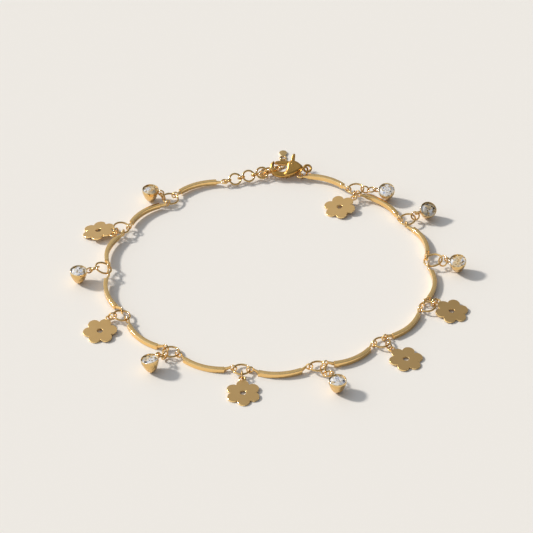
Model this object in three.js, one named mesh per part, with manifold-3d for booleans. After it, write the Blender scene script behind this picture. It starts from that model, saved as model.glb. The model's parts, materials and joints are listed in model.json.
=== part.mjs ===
// Charm anklet, lying closed on a flat surface.
//
// Thirteen bow-shaped bar links and twelve round rings make the chain. Flat flower charms and
// cone-set stones hang on it from small drop links. A lobster clasp with a sprung lever closes the
// loop through an extender chain.
//
// Millimetres, +Z up, +X to the right and +Y towards the clasp's side of the loop. The loop is laid
// out round (0, 0), and the whole is shifted at the end, so that the origin is the centre of the
// underside of its box.
import * as THREE from "three";
import { mergeVertices } from "three/addons/utils/BufferGeometryUtils.js";
import Module from "manifold-3d";

const wasm = await Module();
wasm.setup();

const radians = THREE.MathUtils.degToRad;

// ---------------------------------------------------------------- sizes, mm

const GAP = 0.17; // clear metal to metal, where two rings hang on each other
const ROLLED_GAP = 0.3; // the same, for a drop link that is rolled about its own way
const WELD = 0.14; // depth to which soldered rings share metal
const FLOOR = 0.02; // clear of the surface, under what lies on it

const BAR = {
  reach: 13.1, // between the centres of its two eyes
  bow: 1.9, // sagitta of its centre line
  width: 1.0,
  height: 1.15,
  tongue: 1.75, // from the shoulder to the eye's centre
  tongueWidth: 0.42,
  tongueHeight: 0.7,
};
const EYE = { radius: 0.88, hole: 0.59, thick: 0.42 };
const EYE_HEIGHT = EYE.radius; // of an eye's centre over the surface, where its bar lies on it

// Rings: the radius of the centre line, and the wire's radius.
const RING = { radius: 1.85, wire: 0.23 };
const DROP = { radius: 0.95, wire: 0.19 };
const FLOWER_DROP = { radius: 0.9, wire: 0.19 };
const SMALL_LINK = { radius: 0.8, wire: 0.2 };
const LARGE_LINK = { radius: 1.37, wire: 0.24 };
const CATCH_RING = { radius: 1.66, wire: 0.22 };
const CLASP_RING = { radius: 1.42, wire: 0.22 };
const TAIL_LINK = { radius: 0.74, wire: 0.18 };
const BAIL = { radius: 0.66, wire: 0.18 };
const TAG = { width: 2.0, length: 2.4, thick: 0.4 };

const FLOWER = {
  petals: 6,
  petalAt: 2.45, // from the flower's centre to a petal's centre
  petalRadius: 1.4,
  thick: 0.36,
  hole: 0.58,
  eyeletAt: 4.4,
  eyeletRadius: 0.85,
  eyeletHole: 0.5,
  hang: 28, // degrees below level, of the place on its drop link where it hangs
};
const SETTING = {
  rim: 1.98, // outer radius
  wall: 0.22,
  depth: 3.55, // from the rim down to the blunt tip
  tip: 0.35,
  bowl: 2.8, // height at which the bullet-shaped cup reaches its full radius
  fullness: 0.36, // exponent of its profile: the smaller, the rounder
};
const DROP_ROLL = radians(48); // of a single drop link about its own way
const STONE = { table: 0.95, crown: 0.42, sunk: 0.12 };
const EYELET = { radius: 0.7, wire: 0.18, height: 2.75, sink: 0.1 };

const CLASP = {
  x: 5.35,
  y: 36.4,
  z: 2.25,
  roll: 30, // about its long axis, with the lever's side up
  plate: 1.3,
  bulge: 2.4,
  slot: 1.4,
  pin: 0.28,
  leverThick: 0.8,
  leverHole: 0.5,
  eyeAt: 4.6,
  eyeRadius: 0.88,
  eyeWire: 0.3,
  caughtAt: [-3.9, -0.5], // where the catch ring lies round the claw
};
const PIVOT = new THREE.Vector2(1.0, 0.75); // of the lever, in the clasp's own plane

// The clasp's outlines run through these points. The body's are in the clasp's own plane, with the
// claw's tip at -X, its eye at +X and the lever's side at +Y; the lever's start from its pivot.
const OUTLINES = {
  clawOutside: [
    [0.4, -2.3], [-1.8, -2.4], [-3.5, -1.95], [-4.45, -0.7], [-4.5, 0.7], [-4.05, 1.55],
    [-3.55, 1.95],
  ],
  clawInside: [
    [-3.4, 1.6], [-3.5, 0.8], [-3.3, 0], [-2.6, -0.7], [-1.5, -0.95], [-0.6, -0.8], [0, -0.4],
  ],
  bulge: [
    [3.4, -0.45], [2.5, -1.1], [1.0, -1.9], [-0.5, -2.3], [-1.0, -1.6], [-0.6, -0.7], [-0.4, 0.3],
    [-0.1, 1.3], [0.8, 1.95], [2.2, 1.45], [3.4, 0.45],
  ],
  gate: [
    [0.2, 0.85], [-1.4, 1.15], [-2.8, 1.2], [-4.05, 1.0], [-4.2, 0.45], [-2.9, 0.3], [-1.6, 0.2],
    [-0.6, -0.2],
  ],
  tab: [
    [-0.45, 0.55], [-0.35, 1.7], [-0.25, 2.9], [0.2, 3.15], [0.55, 2.8], [0.35, 1.7], [0.45, 0.55],
  ],
};

// ---------------------------------------------------------------- layout, mm and degrees

// The bars: the middle between its eyes, and its heading, anticlockwise from the extender's side.
const BARS = [
  { x: -16.1, y: 29.6, heading: 205 },
  { x: -28.1, y: 18.7, heading: 228 },
  { x: -35.1, y: 5.1, heading: 258 },
  { x: -34.6, y: -10.3, heading: 286 },
  { x: -26.9, y: -24.5, heading: 314 },
  { x: -13.4, y: -33.8, heading: 339 },
  { x: 2.9, y: -36.3, heading: 3 },
  { x: 18.4, y: -31.4, heading: 33 },
  { x: 30.6, y: -20.7, heading: 50 },
  { x: 36.7, y: -6.8, heading: 83 },
  { x: 35.2, y: 9.1, heading: 108 },
  { x: 26.9, y: 22.0, heading: 137 },
  { x: 13.9, y: 31.3, heading: 152 },
];
const END_LIFT = { extender: 0.4, clasp: 0.7 }; // of the two outer eyes of the chain

// The rings between the bars: how high the eyes are held over where they would lie, and how
// steeply the ring's outer side rises.
const RINGS = [
  { lift: 0.5, tilt: 8 },
  { lift: 0.8, tilt: 8 },
  { lift: 1.1, tilt: 20 },
  { lift: 0.3, tilt: 8 },
  { lift: 0, tilt: 5 },
  { lift: 0, tilt: 6 },
  { lift: 0.3, tilt: 8 },
  { lift: 0, tilt: 6 },
  { lift: 0, tilt: 8 },
  { lift: 0.3, tilt: 12, radius: 2.1 },
  { lift: 0.3, tilt: 10 },
  { lift: 1.2, tilt: 5 },
];

// The charms. Bearings: of the point on the ring where the drop link hangs, of the drop link from
// there, and of the charm from its eyelet. A stone's lean is the turn of its setting about the
// charm's own bearing, links is the number of drop links that carry it, and hang is as in FLOWER.
const CHARMS = [
  { ring: 1, kind: "stone", hook: 168, drop: 168, heading: 168 },
  { ring: 2, kind: "flower", hook: 231, drop: 231, heading: 146, hang: 12 },
  { ring: 3, kind: "stone", hook: 202, drop: 202, heading: 202, dropRadius: 1.2 },
  { ring: 4, kind: "flower", hook: 195, drop: 195, heading: 245 },
  { ring: 5, kind: "stone", hook: 231, drop: 231, heading: 231, links: 2, lean: -10 },
  { ring: 6, kind: "flower", hook: 273, drop: 273, heading: 273 },
  { ring: 7, kind: "stone", hook: 300, drop: 300, heading: 300, links: 2, dropRadius: 1.2 },
  { ring: 8, kind: "flower", hook: 315, drop: 315, heading: 315 },
  { ring: 9, kind: "flower", hook: 40, drop: 40, heading: 316, hang: 12 },
  { ring: 10, kind: "stone", hook: 335, drop: 335, heading: 335, lean: -12, dropRadius: 1.2 },
  { ring: 11, kind: "stone", hook: 22, drop: 18, heading: 22, lean: -30 },
  { ring: 12, kind: "flower", hook: 256, drop: 262, heading: 218 },
  { ring: 12, kind: "stone", hook: 350, drop: 345, heading: 345, links: 2, lean: -20 },
];

// ---------------------------------------------------------------- materials

const metal = (color, roughness) => new THREE.MeshStandardMaterial({ color, roughness, metalness: 1 });
const POLISHED = metal("#e1b464", 0.18);
const BRUSHED = metal("#b49664", 0.4);
const CLASP_GOLD = metal("#b8924f", 0.25);

// ---------------------------------------------------------------- solids

const Z = new THREE.Vector3(0, 0, 1);
const bearing = (degrees) => new THREE.Vector3(Math.cos(radians(degrees)), Math.sin(radians(degrees)), 0);
const along = (point, ...steps) => {
  const out = point.clone();
  for (const [direction, length] of steps) out.addScaledVector(direction, length);
  return out;
};

// A direction turned by this angle towards another, which stands square to it.
const turned = (from, towards, angle) =>
  along(new THREE.Vector3(), [from, Math.cos(angle)], [towards, Math.sin(angle)]);

// A closed three.js geometry as a solid that can be joined and cut.
function solid(geometry, matrix) {
  let g = geometry.index ? geometry.toNonIndexed() : geometry.clone();
  g.deleteAttribute("normal");
  g.deleteAttribute("uv");
  if (matrix) g.applyMatrix4(matrix);
  g = mergeVertices(g, 1e-4);
  return new wasm.Manifold(
    new wasm.Mesh({
      numProp: 3,
      vertProperties: new Float32Array(g.attributes.position.array),
      triVerts: new Uint32Array(g.index.array),
    }),
  );
}

function geometryOf(manifold) {
  const { numProp, vertProperties, triVerts } = manifold.getMesh();
  const position = new Float32Array((vertProperties.length / numProp) * 3);
  for (let i = 0; i < position.length / 3; i++)
    for (let k = 0; k < 3; k++) position[3 * i + k] = vertProperties[numProp * i + k];
  const g = new THREE.BufferGeometry();
  g.setAttribute("position", new THREE.BufferAttribute(position, 3));
  g.setIndex(new THREE.BufferAttribute(new Uint32Array(triVerts), 1));
  g.computeVertexNormals();
  return g;
}

const union = (...solids) => solids.reduce((all, next) => all.add(next));
const move = (x, y, z) => new THREE.Matrix4().makeTranslation(x, y, z);

// A frame at a point, from its x direction and a direction that its y leans to.
function frame(origin, xAxis, towardsY) {
  const x = xAxis.clone().normalize();
  const z = new THREE.Vector3().crossVectors(x, towardsY).normalize();
  const y = new THREE.Vector3().crossVectors(z, x);
  return new THREE.Matrix4().makeBasis(x, y, z).setPosition(origin);
}

// A plate of the given outline, of this thickness, centred on its own plane. Each arc of the outline
// is cut into this number of straight sides.
function plate(shape, thick, sides = 12) {
  const settings = { depth: thick, bevelEnabled: false, curveSegments: sides / 2 };
  return new THREE.ExtrudeGeometry(shape, settings).translate(0, 0, -thick / 2);
}

function disc(radius, hole) {
  const shape = new THREE.Shape().absarc(0, 0, radius, 0, 2 * Math.PI, false);
  if (hole) shape.holes.push(new THREE.Path().absarc(0, 0, hole, 0, 2 * Math.PI, true));
  return shape;
}

const roundRing = ({ radius, wire }, around = 14, section = 5) =>
  new THREE.TorusGeometry(radius, wire, section, around);

const group = new THREE.Group();
function place(name, geometry, material, matrix) {
  const mesh = new THREE.Mesh(geometry, material);
  mesh.name = name;
  if (matrix) matrix.decompose(mesh.position, mesh.quaternion, mesh.scale);
  group.add(mesh);
  return mesh;
}
const numbered = (name, i) => `${name}_${String(i + 1).padStart(2, "0")}`;

// ---------------------------------------------------------------- bar link

// Along X between its eyes, bowed towards +Y, with its eyes' centres at height 0. An eye's hole runs
// along Y, or along Z where the eye is turned flat.
function barGeometry(flatFirst, flatLast) {
  const { reach, bow, width, height, tongue, tongueWidth, tongueHeight } = BAR;
  const half = reach / 2;
  const shoulder = half - tongue;
  const radius = (half * half + bow * bow) / (2 * bow);
  const centre = bow - radius; // of the arc, on Y
  const sweep = Math.asin(shoulder / radius);
  const shape = new THREE.Shape();
  shape.absarc(0, centre, radius + width / 2, Math.PI / 2 - sweep, Math.PI / 2 + sweep, false);
  shape.absarc(0, centre, radius - width / 2, Math.PI / 2 + sweep, Math.PI / 2 - sweep, true);
  shape.closePath();
  const floor = -EYE_HEIGHT;
  const body = solid(plate(shape, height, 8), move(0, 0, floor + height / 2));
  const shoulderY = centre + radius * Math.cos(sweep);

  const pieces = [body];
  for (const side of [1, -1]) {
    const flat = side > 0 ? flatFirst : flatLast;
    const block = new THREE.BoxGeometry(1, 1, 1);
    const p = block.attributes.position;
    for (let i = 0; i < p.count; i++) {
      const outer = p.getX(i) > 0;
      const w = outer ? tongueWidth : width * 0.8;
      const h = outer ? tongueHeight : height * 0.85;
      const mid = outer ? 0 : floor + height / 2;
      p.setXYZ(
        i,
        outer ? half - (EYE.radius + EYE.hole) / 2 : shoulder - 0.15,
        (outer ? 0 : side * shoulderY) + p.getY(i) * w,
        mid + p.getZ(i) * (flat && outer ? EYE.thick : h),
      );
    }
    const turn = new THREE.Matrix4().makeRotationZ(side > 0 ? 0 : Math.PI);
    pieces.push(solid(block, turn));
    const eye = new THREE.Matrix4().makeTranslation(side * half, 0, 0);
    if (!flat) eye.multiply(new THREE.Matrix4().makeRotationX(Math.PI / 2));
    pieces.push(solid(plate(disc(EYE.radius, EYE.hole), EYE.thick, 8), eye));
  }
  return geometryOf(union(...pieces));
}

// The bar's two eyes, the first and the last on the way round.
function eyesOf(i) {
  const { x, y, heading } = BARS[i];
  const lifts = [END_LIFT.extender, ...RINGS.map((r) => r.lift), END_LIFT.clasp];
  const rise = lifts[i + 1] - lifts[i];
  const way = bearing(heading).multiplyScalar(Math.sqrt(BAR.reach ** 2 - rise ** 2));
  way.z = rise;
  const middle = new THREE.Vector3(x, y, EYE_HEIGHT + (lifts[i] + lifts[i + 1]) / 2);
  return [along(middle, [way, -0.5]), along(middle, [way, 0.5])];
}
const EYES = BARS.map((_, i) => eyesOf(i));

const plainBar = barGeometry(false, false);
BARS.forEach((row, i) => {
  const [first, last] = EYES[i];
  const middle = first.clone().lerp(last, 0.5);
  const inwards = bearing(row.heading + 90);
  const isFirst = i === 0;
  const isLast = i === BARS.length - 1;
  const geometry = isFirst || isLast ? barGeometry(isFirst, isLast) : plainBar;
  const back = first.clone().sub(last);
  place(numbered("bar_link", i), geometry, POLISHED, frame(middle, back, inwards.negate()));
});

// ---------------------------------------------------------------- junction rings

// A ring through two eyes: its centre swings out from between them, and its outer side rises.
const placedRings = RINGS.map((row, i) => {
  const radius = row.radius ?? RING.radius;
  const from = EYES[i][1];
  const to = EYES[i + 1][0];
  const across = to.clone().sub(from);
  const swing = Math.sqrt(radius ** 2 - across.lengthSq() / 4);
  across.normalize();
  const outwards = new THREE.Vector3().crossVectors(across, Z);
  const rising = turned(outwards, Z, radians(row.tilt));
  const centre = along(from.clone().lerp(to, 0.5), [rising, swing]);
  const geometry = roundRing({ radius, wire: RING.wire }, 16);
  place(numbered("junction_ring", i), geometry, POLISHED, frame(centre, across, rising));
  // The point of the ring's centre line that lies at this bearing from its centre.
  const pointAt = (degrees) => {
    const towards = bearing(degrees);
    const angle = Math.atan2(towards.dot(outwards), towards.dot(across));
    return along(centre, [across, radius * Math.cos(angle)], [rising, radius * Math.sin(angle)]);
  };
  return { centre, pointAt };
});

// ---------------------------------------------------------------- charms

// Flat in XY, with its eyelet's centre at the origin and the flower beyond it along +X.
function flowerGeometry() {
  const { petals, petalAt, petalRadius, thick, hole, eyeletAt, eyeletRadius, eyeletHole } = FLOWER;
  const step = (2 * Math.PI) / petals;
  const halfSpan = petalAt * Math.sin(step / 2); // between neighbouring petals' centres
  const valley = petalAt * Math.cos(step / 2) + Math.sqrt(petalRadius ** 2 - halfSpan ** 2);
  const reachAngle = Math.atan2(valley * Math.sin(step / 2), valley * Math.cos(step / 2) - petalAt);
  const shape = new THREE.Shape();
  for (let i = 0; i < petals; i++) {
    const a = i * step;
    const x = eyeletAt + petalAt * Math.cos(a);
    const y = petalAt * Math.sin(a);
    shape.absarc(x, y, petalRadius, a - reachAngle, a + reachAngle, false);
  }
  shape.closePath();
  shape.holes.push(new THREE.Path().absarc(eyeletAt, 0, hole, 0, 2 * Math.PI, true));
  const eyelet = solid(plate(disc(eyeletRadius, eyeletHole), thick, 8));
  return geometryOf(solid(plate(shape, thick, 6)).add(eyelet));
}

// Round the Z axis, with its rim at height 0 and its tip below. Its eyelet stands on the -X side.
const settingRadiusAt = (height) => {
  const share = Math.min(1, height / SETTING.bowl);
  return Math.max(SETTING.tip, SETTING.rim * share ** SETTING.fullness);
};
const CUP_HEIGHTS = [0, 0.3, 0.9, 1.7, SETTING.bowl]; // of the corners of its profile
const cupProfile = CUP_HEIGHTS.map((height) => [settingRadiusAt(height), height - SETTING.depth]);
const eyeletOut = () => settingRadiusAt(EYELET.height) + EYELET.radius - EYELET.sink;
function stoneCharmGeometry() {
  const { rim, wall, depth } = SETTING;
  const bore = rim - wall;
  const profile = [
    [0, -depth],
    ...cupProfile,
    [rim, 0],
    [bore, 0],
    [bore, -STONE.sunk - STONE.crown],
    [STONE.table, -STONE.sunk],
    [0, -STONE.sunk],
  ].map(([r, z]) => new THREE.Vector2(r, z));
  const upright = new THREE.Matrix4().makeRotationX(Math.PI / 2);
  const cup = solid(new THREE.LatheGeometry(profile, 10), upright);
  const standing = move(-eyeletOut(), 0, EYELET.height - depth);
  standing.multiply(new THREE.Matrix4().makeRotationX(Math.PI / 2));
  return geometryOf(cup.add(solid(roundRing(EYELET, 10), standing)));
}

const flower = flowerGeometry();
const stoneCharm = stoneCharmGeometry();

// A flower lies with its eyelet round its drop link's lower outer side and its far petal on the
// surface.
function placeFlower(row, hook, linkName, charmName) {
  const way = bearing(row.drop);
  const { radius, wire } = FLOWER_DROP;
  const centre = along(hook, [way, radius - wire - RING.wire - GAP]);
  centre.z = Math.max(hook.z, radius + wire + FLOOR);
  place(linkName, roundRing(FLOWER_DROP, 10), POLISHED, frame(centre, way, Z));
  const eyelet = along(centre, [turned(way, Z, -radians(row.hang ?? FLOWER.hang)), radius]);
  const length = FLOWER.eyeletAt + FLOWER.petalAt + FLOWER.petalRadius;
  const fall = Math.asin((eyelet.z - FLOWER.thick / 2 - FLOOR) / length);
  const down = turned(bearing(row.heading), Z, -fall);
  const side = bearing(row.heading + 90);
  place(charmName, flower, BRUSHED, frame(eyelet, down, side));
}

// A stone stands on its setting's tip, or leans over onto its side, and one or two drop links rise
// from the ring to its eyelet.
function placeStone(row, hook, linkName, charmName) {
  const lean = radians(row.lean ?? 0);
  const radius = row.dropRadius ?? DROP.radius;
  const heading = bearing(row.heading);
  const side = bearing(row.heading + 90);
  const axis = turned(Z, side, lean);
  const { rim, depth } = SETTING;
  const lowest = ([r, z]) => r * Math.abs(Math.sin(lean)) - z * Math.cos(lean);
  const rimHeight = Math.max(...[...cupProfile, [rim, 0]].map(lowest)) + FLOOR;
  const eyeletHeight = rimHeight - (depth - EYELET.height) * Math.cos(lean);

  const isPair = row.links === 2;
  const clear = isPair ? GAP : ROLLED_GAP;
  const inset = radius - DROP.wire - RING.wire - clear;
  const outset = radius + EYELET.radius - EYELET.wire - DROP.wire - clear;
  const linked = 2 * radius - 2 * DROP.wire + WELD;
  const reach = inset + outset + (isPair ? linked : 0);
  const rise = Math.asin((eyeletHeight - hook.z) / reach);
  const way = turned(bearing(row.drop), Z, rise);
  const across = bearing(row.drop + 90);
  const ring = roundRing({ radius, wire: DROP.wire }, 10);
  const first = along(hook, [way, inset]);
  if (isPair) {
    const second = along(first, [way, linked]);
    const pair = solid(ring, frame(first, way, Z)).add(solid(ring, frame(second, way, across)));
    place(linkName, geometryOf(pair), POLISHED);
  } else {
    const upwards = new THREE.Vector3().crossVectors(way, across);
    const rolled = turned(across, upwards, DROP_ROLL);
    place(linkName, ring, POLISHED, frame(first, way, rolled));
  }
  const eyelet = along(hook, [way, reach]);
  const rimCentre = along(eyelet, [heading, eyeletOut()], [axis, depth - EYELET.height]);
  const y = new THREE.Vector3().crossVectors(axis, heading);
  place(charmName, stoneCharm, POLISHED, frame(rimCentre, heading, y));
}

const placed = { flower: 0, stone: 0 };
CHARMS.forEach((row, i) => {
  const hook = placedRings[row.ring - 1].pointAt(row.hook);
  const put = row.kind === "flower" ? placeFlower : placeStone;
  put(row, hook, numbered("drop_link", i), numbered(`${row.kind}_charm`, placed[row.kind]));
  placed[row.kind] += 1;
});

// ---------------------------------------------------------------- lobster clasp

const claspFrame = frame(
  new THREE.Vector3(CLASP.x, CLASP.y, CLASP.z),
  new THREE.Vector3(1, 0, 0),
  new THREE.Vector3(0, Math.cos(radians(CLASP.roll)), Math.sin(radians(CLASP.roll))),
);
const inClasp = (x, y, z = 0) => new THREE.Vector3(x, y, z).applyMatrix4(claspFrame);

function smooth(points, segments) {
  const curve = new THREE.SplineCurve(points.map(([x, y]) => new THREE.Vector2(x, y)));
  return curve.getPoints(segments);
}

function claspBodyGeometry() {
  const clawOutline = [...smooth(OUTLINES.clawOutside, 14), ...smooth(OUTLINES.clawInside, 12)];
  const claw = solid(plate(new THREE.Shape(clawOutline), CLASP.plate));
  const bulge = solid(plate(new THREE.Shape(smooth(OUTLINES.bulge, 22)), CLASP.bulge));
  const eye = solid(
    roundRing({ radius: CLASP.eyeRadius, wire: CLASP.eyeWire }, 16, 6),
    move(CLASP.eyeAt, 0, 0),
  );
  const neck = solid(new THREE.BoxGeometry(0.8, 0.8, 0.5), move(3.45, 0, 0));
  // The slot that the lever turns in: round its pivot, and open towards the gate and the tab.
  const well = solid(plate(disc(1.2), CLASP.slot, 16), move(PIVOT.x, PIVOT.y, 0));
  const mouth = solid(new THREE.BoxGeometry(3.9, 2.6, CLASP.slot), move(0.05, 1.75, 0));
  const pin = solid(
    new THREE.CylinderGeometry(CLASP.pin, CLASP.pin, CLASP.bulge - 0.2, 10),
    move(PIVOT.x, PIVOT.y, 0).multiply(new THREE.Matrix4().makeRotationX(Math.PI / 2)),
  );
  return geometryOf(union(claw, bulge, neck, eye).subtract(well).subtract(mouth).add(pin));
}

// The gate, its hub round the pivot, and the thumb tab, with the pivot at the origin.
function claspLeverGeometry() {
  const arm = solid(plate(new THREE.Shape(smooth(OUTLINES.gate, 20)), CLASP.leverThick));
  const hub = solid(plate(disc(0.85, CLASP.leverHole), CLASP.leverThick, 14));
  const bore = solid(plate(disc(CLASP.leverHole), CLASP.leverThick * 2, 14));
  const tab = solid(plate(new THREE.Shape(smooth(OUTLINES.tab, 14)), CLASP.leverThick));
  return geometryOf(union(arm, hub, tab).subtract(bore));
}

place("clasp_body", claspBodyGeometry(), CLASP_GOLD, claspFrame);
const leverFrame = claspFrame.clone().multiply(move(PIVOT.x, PIVOT.y, 0));
place("clasp_lever", claspLeverGeometry(), CLASP_GOLD, leverFrame);

// The ring that joins the clasp's eye to the last bar's eye, standing on edge.
const lastEye = EYES[BARS.length - 1][1];
const claspEye = inClasp(CLASP.eyeAt, 0);
const chord = claspEye.clone().sub(lastEye);
const level = Z.clone().addScaledVector(chord, -Z.dot(chord) / chord.lengthSq()).normalize();
const claspRingCentre = along(
  lastEye.clone().lerp(claspEye, 0.5),
  [level, -Math.sqrt(CLASP_RING.radius ** 2 - chord.lengthSq() / 4)],
);
place("clasp_ring", roundRing(CLASP_RING, 16), CLASP_GOLD, frame(claspRingCentre, chord, level));

// ---------------------------------------------------------------- extender

// Small and large rings turned across each other, from the first bar's eye to the claw. Each small
// ring is soldered to the large one after it.
const EXTENDER_TILT = radians(35);
const firstEye = EYES[0][0];
const clawArm = inClasp(...CLASP.caughtAt);
const way = clawArm.clone().sub(firstEye).normalize();
const across = new THREE.Vector3().crossVectors(Z, way).normalize();
const up = new THREE.Vector3().crossVectors(way, across);
const flatter = turned(across, up, EXTENDER_TILT);
const steeper = turned(across, up, EXTENDER_TILT + Math.PI / 2);
const touching = SMALL_LINK.radius + LARGE_LINK.radius - SMALL_LINK.wire - LARGE_LINK.wire;
let at = SMALL_LINK.radius;
for (let i = 0; i < 3; i++) {
  const small = solid(roundRing(SMALL_LINK, 10), frame(along(firstEye, [way, at]), way, steeper));
  at += touching + WELD;
  const large = solid(roundRing(LARGE_LINK, 12), frame(along(firstEye, [way, at]), way, flatter));
  at += touching - GAP;
  place(`extender_link_${i + 1}`, geometryOf(small.add(large)), POLISHED);
}
at += CATCH_RING.radius - SMALL_LINK.radius + SMALL_LINK.wire - CATCH_RING.wire;
const caught = along(firstEye, [way, at]);
place("catch_ring", roundRing(CATCH_RING, 14), POLISHED, frame(caught, way, steeper));

// The tail hangs low on the catch ring's outer side and lies on the surface behind the clasp, as far
// as a plain tag. Its rings and the tag are soldered together.
const TAIL_HOOK = radians(50); // round the catch ring, from its lowest point
const TAIL_TURN = 165; // bearing of the tail's first ring from the bail
const TAIL_WAY = [[-1.0, 37.6], [1.0, 39.0], [3.2, 39.6], [4.1, 41.2], [4.1, 43.6]];
const inwards = turned(steeper, way, TAIL_HOOK);
const hooked = along(caught, [inwards, -CATCH_RING.radius]);
const downwards = along(new THREE.Vector3(), [inwards, -inwards.z], [flatter, -flatter.z]).normalize();
const bailLow = along(hooked, [downwards, BAIL.radius]);
const flatHeight = TAIL_LINK.wire + FLOOR;
const tailStart = along(bailLow, [bearing(TAIL_TURN), TAIL_LINK.radius - WELD]);
const route = new THREE.CatmullRomCurve3([
  tailStart,
  ...TAIL_WAY.map(([x, y]) => new THREE.Vector3(x, y, flatHeight)),
]);
const tailSteps = Math.round(route.getLength() / (2 * (TAIL_LINK.radius - TAIL_LINK.wire) + WELD));
const tailPieces = [solid(roundRing(BAIL, 10, 4), frame(hooked, downwards, flatter))];
for (let i = 0; i <= tailSteps; i++) {
  const centre = route.getPointAt(i / tailSteps);
  const heading = route.getTangentAt(i / tailSteps);
  const side = new THREE.Vector3().crossVectors(Z, heading);
  centre.z = Math.max(centre.z, flatHeight + TAIL_LINK.radius * Math.abs(heading.z));
  tailPieces.push(solid(roundRing(TAIL_LINK, 8, 4), frame(centre, heading, side)));
}
const tailEnd = route.getPointAt(1);
const tagOutline = new THREE.Shape();
tagOutline.absarc(0, TAG.length - TAG.width / 2, TAG.width / 2, 0, Math.PI, false);
tagOutline.lineTo(-TAG.width / 4, 0).lineTo(TAG.width / 4, 0).closePath();
const tagPlace = move(tailEnd.x, tailEnd.y + TAIL_LINK.radius - WELD, TAG.thick / 2 + FLOOR);
tailPieces.push(solid(plate(tagOutline, TAG.thick), tagPlace));
place("extender_tail", geometryOf(union(...tailPieces)), POLISHED);

// ---------------------------------------------------------------- the origin

const box = new THREE.Box3().setFromObject(group, true);
const middle = box.getCenter(new THREE.Vector3());
group.position.set(-middle.x, -middle.y, -box.min.z);
const part = new THREE.Group();
part.add(group);

export default part;
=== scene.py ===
# %% [markdown]
# # A gold-plated charm anklet, closed and lying flat
# The real thing is a loop of thirteen bowed bar links and round wire rings, with flat flowers and
# cone-set stones on drop links, closed by a lobster clasp and an extender chain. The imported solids
# fix every place and size. This lesson dresses them: each faceted solid gives its seat (its middle
# and its axes), and a smooth, bevelled piece is made once, then set on every seat of its kind.

# %% Load the fixed frame
import json
import math

import bmesh
import bpy
import numpy as np
from mathutils import Matrix, Vector


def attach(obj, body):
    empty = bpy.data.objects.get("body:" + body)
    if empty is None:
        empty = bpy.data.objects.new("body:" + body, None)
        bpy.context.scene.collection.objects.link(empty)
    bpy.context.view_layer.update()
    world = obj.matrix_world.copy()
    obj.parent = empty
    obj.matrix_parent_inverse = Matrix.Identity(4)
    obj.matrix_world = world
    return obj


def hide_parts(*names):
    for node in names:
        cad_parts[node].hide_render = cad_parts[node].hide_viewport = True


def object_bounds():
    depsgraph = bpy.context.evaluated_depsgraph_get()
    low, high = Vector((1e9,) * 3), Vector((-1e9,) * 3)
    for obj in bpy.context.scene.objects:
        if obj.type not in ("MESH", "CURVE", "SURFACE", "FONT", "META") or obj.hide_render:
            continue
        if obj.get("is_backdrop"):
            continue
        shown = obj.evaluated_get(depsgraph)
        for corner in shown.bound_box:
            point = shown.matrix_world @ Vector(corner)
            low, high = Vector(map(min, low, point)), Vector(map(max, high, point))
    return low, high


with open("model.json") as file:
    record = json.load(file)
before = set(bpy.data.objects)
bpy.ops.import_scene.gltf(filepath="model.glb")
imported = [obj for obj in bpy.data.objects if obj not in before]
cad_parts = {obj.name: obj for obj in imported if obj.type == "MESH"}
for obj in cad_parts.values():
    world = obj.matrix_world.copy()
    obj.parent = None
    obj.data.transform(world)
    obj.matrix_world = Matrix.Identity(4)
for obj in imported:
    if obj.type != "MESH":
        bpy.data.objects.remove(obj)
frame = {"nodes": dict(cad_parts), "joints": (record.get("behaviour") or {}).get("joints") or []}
cad_box = [list(map(float, corner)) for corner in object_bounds()]
MM = 0.001
UP = Vector((0, 0, 1))

# %% [markdown]
# ## The camera
# A long lens from well above the near side, so the far links look hardly smaller than the near
# ones. It is placed first: everything else is judged through it. A camera looks along its own -Z.


# %% Camera
def add_object(name, data):
    added = bpy.data.objects.new(name, data)
    bpy.context.scene.collection.objects.link(added)
    return added


AIM = Vector((-0.4925, 1.4818, 0.0)) * MM
CAMERA_ELEVATION = math.radians(38.5)
CAMERA_DISTANCE = 558 * MM
SENSOR_WIDTH, LENS = 36.0, 162.1013  # in millimetres
camera = add_object("camera", bpy.data.cameras.new("camera"))
camera.data.sensor_width = SENSOR_WIDTH
camera.data.lens = LENS
camera.data.clip_start, camera.data.clip_end = 0.01, 10
towards_lens = Vector((0, -math.cos(CAMERA_ELEVATION), math.sin(CAMERA_ELEVATION)))
camera.location = AIM + towards_lens * CAMERA_DISTANCE
camera.rotation_euler = towards_lens.to_track_quat("Z", "Y").to_euler()
bpy.context.scene.camera = camera
print("lens", round(camera.data.lens, 1), "mm")

# %% [markdown]
# ## Nodes by hand
# Colours are written as sRGB hex codes and turned to linear light by one function. One small
# function adds a node with its settings and its links, to a material or to a geometry tree.


# %% Colour and node helpers
def linear(code):
    parts = [int(code[i : i + 2], 16) / 255 for i in (1, 3, 5)]
    return (*[c / 12.92 if c <= 0.04045 else ((c + 0.055) / 1.055) ** 2.4 for c in parts], 1.0)


def add_node(tree, kind, inputs=None, **settings):
    """A node with its settings made, and each input linked to a socket or set to a value."""
    node = tree.nodes.new(kind)
    for key, value in settings.items():
        setattr(node, key, value)
    for key, value in (inputs or {}).items():
        if isinstance(value, bpy.types.NodeSocket):
            tree.links.new(value, node.inputs[key])
        else:
            node.inputs[key].default_value = value
    return node


def new_material(name):
    """An empty material, its tree, and the Object coordinates that hold its patterns."""
    material = bpy.data.materials.new(name)
    material.use_nodes = True
    material.node_tree.nodes.clear()
    place = add_node(material.node_tree, "ShaderNodeTexCoord").outputs["Object"]
    return material, material.node_tree, place


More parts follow.
